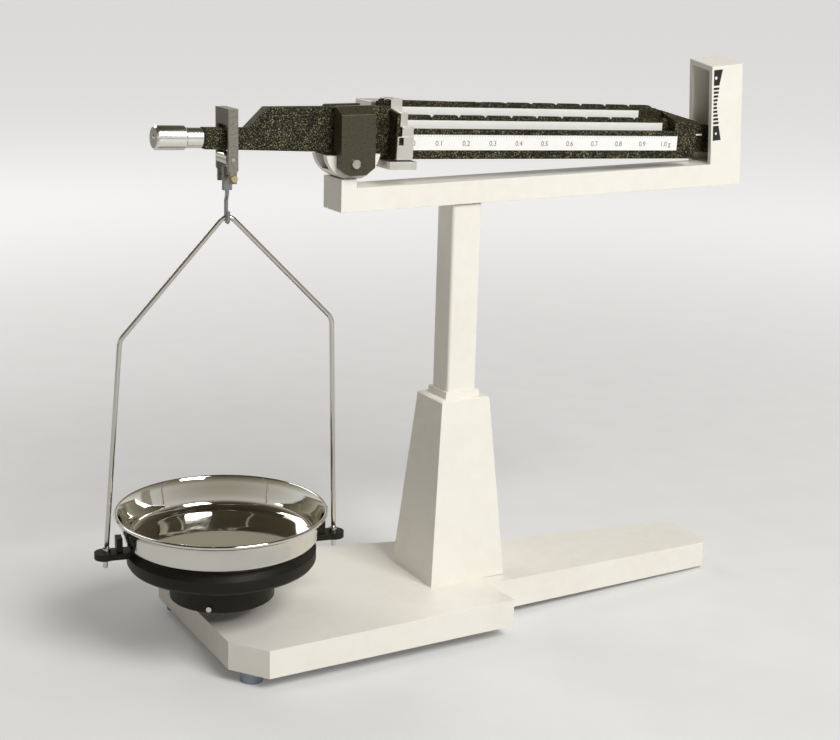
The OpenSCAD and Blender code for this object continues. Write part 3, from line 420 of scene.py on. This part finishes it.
def arc(cx, cz, r, a0, a1, steps=8):
    """Points of an arc in radius and height, with its angles in degrees."""
    return [(cx + r * math.cos(math.radians(a0 + (a1 - a0) * i / steps)),
             cz + r * math.sin(math.radians(a0 + (a1 - a0) * i / steps))) for i in range(steps + 1)]


def rounded_path(points, radii, steps):
    """A path of 3-D points with a round bend at each inner point."""
    path = [Vector(points[0])]
    for i in range(1, len(points) - 1):
        here = Vector(points[i])
        back = (Vector(points[i - 1]) - here).normalized()
        on = (Vector(points[i + 1]) - here).normalized()
        half = back.angle(on) / 2
        reach = radii[i] / math.tan(half)
        centre = here + (back + on).normalized() * (radii[i] / math.sin(half))
        start_arm = here + back * reach - centre
        end_arm = here + on * reach - centre
        for k in range(steps + 1):
            path.append(centre + start_arm.slerp(end_arm, k / steps).normalized() * radii[i])
    path.append(Vector(points[-1]))
    return path


def wire(name, path, radius, place, sides=16):
    """A round rod along a path, with domed ends."""
    bm = bmesh.new()
    last = len(path) - 1
    directions = [(path[min(i + 1, last)] - path[max(i - 1, 0)]).normalized() for i in range(last + 1)]
    across = directions[0].orthogonal().normalized()
    # Rings at each end, as (place along the rod, size), both as shares of its radius
    domes = {0: [(0.0, 0.35), (0.2, 0.75), (0.5, 1.0)], last: [(-0.5, 1.0), (-0.2, 0.75), (0.0, 0.35)]}
    rings = []
    for i, point in enumerate(path):
        along = directions[i]
        across = (across - along * across.dot(along)).normalized()
        other = along.cross(across)
        for shift, share in domes.get(i, [(0.0, 1.0)]):
            centre = point + along * (shift * radius)
            rings.append([bm.verts.new(centre + (across * math.cos(a) + other * math.sin(a)) * radius * share)
                          for a in (2 * math.pi * k / sides for k in range(sides))])
    for lower, upper in zip(rings, rings[1:]):
        join_rings(bm, lower, upper, sides)
    bm.faces.new(rings[0][::-1])
    bm.faces.new(rings[-1])
    bmesh.ops.recalc_face_normals(bm, faces=bm.faces)
    return from_bmesh(name, bm, place)


# Stand
eased("base_plate", "stand", 1.1)
eased("pedestal", "stand", 0.9)
eased("column", "stand", 0.4, 2)
eased("support_arm", "stand", 0.7)
eased("bearing_block", "stand", 0.5, 2)
eased("front_bearing_cover", "stand", 0.35, 2)
eased("rear_bearing_cover", "stand", 0.35, 2)

# Beam
eased("beam_casting", "beam", 0.35, 2)
for load in ("1g", "10g", "100g", "200g"):
    eased("poise_" + load, "rider_" + load, 0.22, 2)
eased("stirrup", "stirrup", 0.3, 2)

# Bow: hard-drawn wire, bent at both shoulders and over the hook
bow_points = [(-BOW_HALF, 0, BOW_FOOT_Z), (LEFT_SHOULDER[0], 0, LEFT_SHOULDER[1]),
              (BOW_SET, 0, APEX_Z + APEX_RISE),
              (RIGHT_SHOULDER[0], 0, RIGHT_SHOULDER[1]), (BOW_HALF, 0, BOW_FOOT_Z)]
bow_path = rounded_path(bow_points, [0, SHOULDER_BEND, APEX_BEND, SHOULDER_BEND, 0], 12)
mesh = wire("pan_bow_wire", bow_path, WIRE_R, bow_place())
smooth(mesh, 60)
piece("pan_bow_wire", mesh, BRIGHT_WIRE, "bow", ["pan_bow"])

# Pan: pressed and polished sheet with a rolled rim, drawn up its outside and down its inside
outside = [(0, PAN_Z), (FLAT_R, PAN_Z)]
outside += arc(CORNER_AT, PAN_Z + CORNER_R, CORNER_R, -90, -12)
outside += [(r, PAN_Z + up) for r, up in ((47.2, 8), (48.3, 11), (49.2, 13.6))]
bead = arc(BEAD_AT, PAN_RIM - BEAD_R, BEAD_R, -60, 150, 10)
inside = [(r, PAN_Z + up) for r, up in ((48.3, 12.8), (47.4, 10.4), (46.3, 7))]
inside += arc(CORNER_AT, PAN_Z + CORNER_R, CORNER_R - SHEET, -8, -90)
inside += [(FLAT_R, PAN_Z + SHEET), (0, PAN_Z + SHEET)]
mesh = lathe("polished_pan", outside + bead + inside, bow_place(), 160)
smooth(mesh, 50)
piece("polished_pan", mesh, MIRROR, "pan", ["pan"])
eased("pan_support", "bow", 0.7)


# Printing: numerals and marks lie on the plates and on the housing


def plain_copy(holder):
    """The plain mesh that an object's modifiers or lettering make."""
    bpy.context.view_layer.update()
    return bpy.data.meshes.new_from_object(holder.evaluated_get(bpy.context.evaluated_depsgraph_get()))


def lettering(name, words, place, height):
    """Numerals as thin flat print: words are (text, along, up) in the place's own axes."""
    bm = bmesh.new()
    for text, along, up in words:
        curve = bpy.data.curves.new(name, "FONT")
        curve.body = text
        curve.size = height
        curve.align_x = "CENTER"
        curve.align_y = "CENTER"
        curve.fill_mode = "FRONT"
        holder = bpy.data.objects.new(name, curve)
        bpy.context.scene.collection.objects.link(holder)
        flat = plain_copy(holder)
        flat.transform(Matrix.Translation((along, 0, up)) @ Matrix.Rotation(math.radians(90), 4, "X"))
        bm.from_mesh(flat)
        bpy.data.meshes.remove(flat)
        bpy.data.objects.remove(holder)
    bmesh.ops.remove_doubles(bm, verts=bm.verts, dist=1e-5)
    piece(name, from_bmesh(name, bm, place), INK, "beam", ())


def plate_front(bar):
    """Where print lies on the scale plate of a bar, counted from the front."""
    return (bar - 1.5) * BAR_PITCH - BAR_T / 2 - SCALE_T - INK_LIFT


def figures_on(load, bar, figures, up, height):
    """The figures of one scale, one at each numbered mark, on the front of its bar's plate."""
    words = [(text, ZERO_U + i * MARK_PITCH, up) for i, text in enumerate(figures)]
    lettering("numerals_" + load, words, print_place(plate_front(bar)), height)


def row_of_marks_tree(material):
    """Printed marks in a row, upright: each starts at X = 0 and is longer away from the middle one."""
    tree = bpy.data.node_groups.new("row of marks", "GeometryNodeTree")
    sockets = {}
    inputs = [("Count", "NodeSocketInt")]
    inputs += [(name, "NodeSocketFloat") for name in ("Pitch", "Length", "Growth", "Thickness")]
    for name, kind in inputs:
        sockets[name] = tree.interface.new_socket(name, in_out="INPUT", socket_type=kind).identifier
    tree.interface.new_socket("Geometry", in_out="OUTPUT", socket_type="NodeSocketGeometry")
    given = node(tree, "NodeGroupInput").outputs
    step = node(tree, "ShaderNodeCombineXYZ", {"Z": given["Pitch"]}).outputs[0]
    line = node(tree, "GeometryNodeMeshLine", {"Count": given["Count"], "Offset": step}, mode="OFFSET")
    last = worked_out(tree, "SUBTRACT", given["Count"], 1.0)
    middle = worked_out(tree, "DIVIDE", last, 2.0)
    index = node(tree, "GeometryNodeInputIndex").outputs[0]
    away = worked_out(tree, "ABSOLUTE", worked_out(tree, "SUBTRACT", index, middle))
    reach = worked_out(tree, "MULTIPLY_ADD", away, given["Growth"], given["Length"])
    size = node(tree, "ShaderNodeCombineXYZ", {"X": reach, "Y": 1.0, "Z": given["Thickness"]}).outputs[0]
    sheet = node(tree, "GeometryNodeMeshGrid", {
        "Size X": 1.0, "Size Y": 1.0, "Vertices X": 2, "Vertices Y": 2})
    stood = node(tree, "GeometryNodeTransform", {
        "Geometry": sheet.outputs["Mesh"], "Translation": (0.5, 0.0, 0.0),
        "Rotation": (math.radians(90), 0.0, 0.0)})
    marks = node(tree, "GeometryNodeInstanceOnPoints", {
        "Points": line.outputs[0], "Instance": stood.outputs[0], "Scale": size})
    real = node(tree, "GeometryNodeRealizeInstances", {"Geometry": marks.outputs[0]})
    inked = node(tree, "GeometryNodeSetMaterial", {"Geometry": real.outputs[0], "Material": material})
    node(tree, "NodeGroupOutput", {0: inked.outputs[0]})
    return tree, sockets


def row_of_marks(name, values, place, finish, body):
    """A piece of printed marks, grown from the tree's input values and moved to its place."""
    tree, sockets = row_of_marks_tree(finish)
    holder = bpy.data.objects.new(name, bpy.data.meshes.new(name))
    bpy.context.scene.collection.objects.link(holder)
    grow = holder.modifiers.new("grow", "NODES")
    grow.node_group = tree
    for key, value in values.items():
        grow[sockets[key]] = value
    mesh = plain_copy(holder)
    holder.modifiers.remove(grow)
    bpy.data.objects.remove(holder)
    mesh.transform(place)
    piece(name, mesh, finish, body, ())


def wedge_with_dot(name, low, high, dot):
    """A printed wedge on the index with a round gap: low and high are (height, width), and dot is
    (distance in, height, radius)."""
    bm = bmesh.new()
    steps = 24
    distance_in, up, radius = dot
    middle = (INDEX_X + distance_in, up)
    angles = [2 * math.pi * i / steps for i in range(steps)]
    rim = [(middle[0] + radius * math.cos(a), middle[1] + radius * math.sin(a)) for a in angles]
    corners = [(INDEX_X, low[0]), (INDEX_X + low[1], low[0]),
               (INDEX_X + high[1], high[0]), (INDEX_X, high[0])]
    loops = []
    for points in (corners, rim):
        verts = [bm.verts.new((x, 0, z)) for x, z in points]
        loops += [bm.edges.new((verts[i], verts[(i + 1) % len(verts)])) for i in range(len(verts))]
    bmesh.ops.triangle_fill(bm, use_beauty=True, edges=loops, normal=(0, -1, 0))

    def from_middle(point):
        return math.hypot(point.x - middle[0], point.z - middle[1])

    gap = [face for face in bm.faces if from_middle(face.calc_center_median()) < radius * 0.98
           and all(from_middle(vert.co) < radius * 1.01 for vert in face.verts)]
    bmesh.ops.delete(bm, geom=gap, context="FACES")
    mesh = from_bmesh(name, bm, house_place(0, HOUSE_FRONT - INK_LIFT, 0))
    piece(name, mesh, BLACK_INK, "stand", ())


figures_on("1g", 0, ["%.1f" % (i / 10) for i in range(10)] + ["1.0 g"], -3.0, 3.5)
figures_on("10g", 1, [str(i) for i in range(10)] + ["10 g"], 1.9, 2.6)
figures_on("100g", 2, [str(10 * i) for i in range(10)], 7.4, 2.4)

# Index on the housing: ten bars that grow from the middle, between two wedges
row_of_marks("index_bars", {"Count": 10, "Pitch": -2.0, "Length": 2.2, "Growth": 0.33, "Thickness": 1.2},
             house_place(INDEX_X, HOUSE_FRONT - INK_LIFT, 268.2), BLACK_INK, "stand")
wedge_with_dot("index_upper_wedge", (269.8, 3.7), (278.0, 5.9), (1.5, 273.8, 0.85))
wedge_with_dot("index_lower_wedge", (240.9, 5.4), (248.7, 3.7), (2.0, 244.6, 0.7))

# White line on the front of the beam's pointer vane
POINTER_U = 204.6
VANE_FRONT = -0.7
row_of_marks("pointer_line", {"Count": 1, "Pitch": 1.0, "Length": 9.0, "Growth": 0.0, "Thickness": 0.9},
             beam_place() @ Matrix.Translation((POINTER_U, VANE_FRONT - INK_LIFT, 0.9)),
             PLATE_WHITE, "beam")

# Fine graduations of the 1 g scale, drawn 0.12 mm wide: ten to each numbered mark
quarter_turn = Matrix.Rotation(math.radians(-90), 4, "Y")
row_of_marks("graduations_1g",
             {"Count": 101, "Pitch": -MARK_PITCH / 10, "Length": 1.1, "Growth": 0.0, "Thickness": 0.12},
             print_place(plate_front(0)) @ Matrix.Translation((ZERO_U, 0, 0.1)) @ quarter_turn,
             INK, "beam")


# Floor, lights and camera


def paper_floor():
    """A wide round of pale matt paper, which keeps the balance's shadow."""
    bm = bmesh.new()
    bmesh.ops.create_circle(bm, cap_ends=True, radius=14.0, segments=96)
    mesh = from_bmesh("floor", bm)
    floor = bpy.data.objects.new("floor", mesh)
    bpy.context.scene.collection.objects.link(floor)
    paper, tree, where = start("pale paper floor")
    tint = ramp(tree, noise(tree, where, 30, 3), (0.3, colour("#DFDFDE")), (0.7, colour("#DCDCDB")))
    inputs = {"Base Color": tint, "Roughness": 0.85, "Specular IOR Level": 0.2}
    matt = node(tree, "ShaderNodeBsdfPrincipled", inputs)
    # Far from the balance, where the lamps don't reach, the paper is shown at the same pale tone
    away = node(tree, "ShaderNodeVectorMath", {0: where}, operation="LENGTH").outputs["Value"]
    far = spread(tree, away, 0.2, 1.5, 0.1, 0.52, interpolation_type="SMOOTHSTEP")
    seen = node(tree, "ShaderNodeLightPath").outputs["Is Camera Ray"]
    lift = worked_out(tree, "MULTIPLY", far, seen)
    glow = node(tree, "ShaderNodeEmission", {"Color": colour("#FFFFFF"), "Strength": lift})
    finish_with(tree, node(tree, "ShaderNodeAddShader", {0: matt.outputs[0], 1: glow.outputs[0]}))
    mesh.materials.append(paper)


def studio_room():
    """The world: a plain soft fill, and a room for polished metal to mirror."""
    world = bpy.data.worlds.new("pale studio")
    bpy.context.scene.world = world
    world.use_nodes = True
    tree = world.node_tree
    tree.nodes.clear()
    path = node(tree, "ShaderNodeLightPath").outputs
    seen = worked_out(tree, "MAXIMUM", path["Is Camera Ray"], path["Is Glossy Ray"])
    seen = worked_out(tree, "MAXIMUM", seen, path["Is Transmission Ray"])
    toward = node(tree, "ShaderNodeTexCoord").outputs["Generated"]
    facing = node(tree, "ShaderNodeSeparateXYZ", {0: toward}).outputs
    # The room is darker and warmer on the left than on the right, which shades the castings' left faces
    side = spread(tree, facing["X"], -1.0, 1.0, 0.0, 1.0)
    walls = ramp(tree, side, (0.1, colour("#655A4C")), (0.5, colour("#B0A99E")), (0.8, colour("#FFFFFF")))
    fill = node(tree, "ShaderNodeBackground", {"Color": walls, "Strength": 0.46})
    # The room above is dimmer and warmer than at eye level, so that polished metal shows dark and bright
    room = ramp(tree, facing["Z"], (0.10, colour("#E6E6E4")), (0.34, colour("#A8A294")),
                (0.62, colour("#5C5547")), (1.0, colour("#3A352B")))
    shown = node(tree, "ShaderNodeBackground", {"Color": room, "Strength": 0.9})
    both = node(tree, "ShaderNodeMixShader", {0: seen, 1: fill.outputs[0], 2: shown.outputs[0]})
    node(tree, "ShaderNodeOutputWorld", {"Surface": both.outputs[0]})


def soft_box(name, place, side, watts):
    """A square softbox at a place in metres, turned to the middle of the balance."""
    lamp = bpy.data.lights.new(name, "AREA")
    lamp.shape = "RECTANGLE"
    lamp.size = side
    lamp.size_y = side
    lamp.energy = watts
    holder = bpy.data.objects.new(name, lamp)
    holder.location = place
    toward = Vector((0.0, 0.0, 0.15)) - Vector(place)
    holder.rotation_euler = toward.to_track_quat("-Z", "Y").to_euler()
    bpy.context.scene.collection.objects.link(holder)


def matched_camera(place_mm, yaw, pitch, roll, focal_px, width_px=840, film_mm=36.0):
    """The photograph's camera: a place in millimetres, and turns in degrees."""
    yaw, pitch, roll = (math.radians(a) for a in (yaw, pitch, roll))
    forward = Vector((math.sin(yaw) * math.cos(pitch), math.cos(yaw) * math.cos(pitch), -math.sin(pitch)))
    level = Vector((math.cos(yaw), -math.sin(yaw), 0))
    below = forward.cross(level)
    right = level * math.cos(roll) + below * math.sin(roll)
    down = below * math.cos(roll) - level * math.sin(roll)
    data = bpy.data.cameras.new("photo camera")
    data.sensor_fit = "HORIZONTAL"
    data.sensor_width = film_mm
    data.lens = film_mm * focal_px / width_px
    data.clip_start = 0.02
    data.clip_end = 60.0
    holder = bpy.data.objects.new("photo camera", data)
    turn = Matrix((right, -down, -forward)).transposed().to_4x4()
    holder.matrix_world = Matrix.Translation(Vector(place_mm) * MM) @ turn
    bpy.context.scene.collection.objects.link(holder)
    bpy.context.scene.camera = holder


paper_floor()
studio_room()
soft_box("key softbox", (0.25, -1.4, 1.45), 0.9, 30)
soft_box("back softbox", (-0.5, 1.3, 1.2), 0.8, 6)
matched_camera((-402.233, -676.196, 335.08), 30.368, 14.938, -1.651, 1589.66)
bpy.context.scene.view_settings.view_transform = "Standard"
